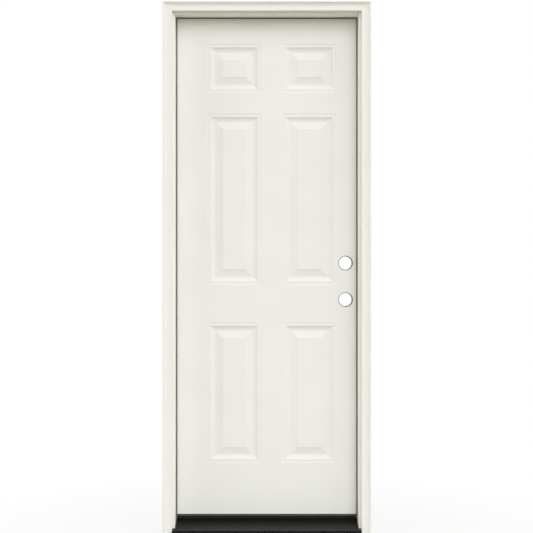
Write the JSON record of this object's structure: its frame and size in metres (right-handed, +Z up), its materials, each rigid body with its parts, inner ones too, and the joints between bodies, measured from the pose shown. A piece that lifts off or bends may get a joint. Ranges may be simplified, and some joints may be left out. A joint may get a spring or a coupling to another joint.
{
  "type": "panelled front door with frame",
  "caption": "Inswing panelled exterior door in a rabbeted frame with mitred casing, weatherstrip and sloped sill, bored for a lockset and a deadbolt.",
  "frame": {"origin": "middle of the sill's underside, on the plane where the casing meets the wall", "axes": "+X right as seen from outside, +Y indoors, +Z up"},
  "size_m": [0.826, 0.1652, 2.1056],
  "materials": {
    "primed_steel": "satin white primer on embossed sheet",
    "primed_wood": "white primer on milled timber",
    "bare_timber": "planed softwood",
    "foam": "rigid insulation foam",
    "dark_aluminium": "dark anodised extrusion",
    "composite": "wood-filled composite",
    "dark_composite": "dark ribbed composite",
    "seal_vinyl": "dark bronze skinned foam seal",
    "seal_foam": "closed-cell foam",
    "sweep_vinyl": "dark grey flexible vinyl",
    "hinge_steel": "satin plated steel",
    "screw_steel": "zinc plated steel"
  },
  "bodies": {
    "frame": {"hinge_jamb": "primed_wood", "strike_jamb": "primed_wood", "head_jamb": "primed_wood", "brickmould_hinge_side": "primed_wood", "brickmould_strike_side": "primed_wood", "brickmould_head": "primed_wood", "sill_deck": "dark_aluminium", "sill_substrate": "composite", "sill_cap": "dark_composite", "sill_cap_screws": "screw_steel", "jamb_sill_screws": "screw_steel", "jamb_head_screws": "screw_steel", "weatherstrip_hinge_side": "seal_vinyl", "weatherstrip_strike_side": "seal_vinyl", "weatherstrip_head": "seal_vinyl", "corner_pad_hinge_side": "seal_foam", "corner_pad_strike_side": "seal_foam", "hinge_top_jamb_leaf": "hinge_steel", "hinge_middle_jamb_leaf": "hinge_steel", "hinge_bottom_jamb_leaf": "hinge_steel", "hinge_top_pin": "hinge_steel", "hinge_middle_pin": "hinge_steel", "hinge_bottom_pin": "hinge_steel", "hinge_jamb_screws": "screw_steel"},
    "door": {"exterior_skin": "primed_steel", "interior_skin": "primed_steel", "hinge_stile": "bare_timber", "lock_stile": "bare_timber", "top_rail": "bare_timber", "bottom_rail": "bare_timber", "lock_block": "bare_timber", "foam_core": "foam", "door_sweep": "sweep_vinyl", "hinge_top_door_leaf": "hinge_steel", "hinge_middle_door_leaf": "hinge_steel", "hinge_bottom_door_leaf": "hinge_steel", "hinge_door_screws": "screw_steel"}
  },
  "joints": [
    {"name": "door_swing", "type": "hinge", "parent": "frame", "child": "door", "pos_m": [-0.37933, 0.1269, 0], "axis": [0, 0, 1], "range_deg": [0, 180]}
  ]
}
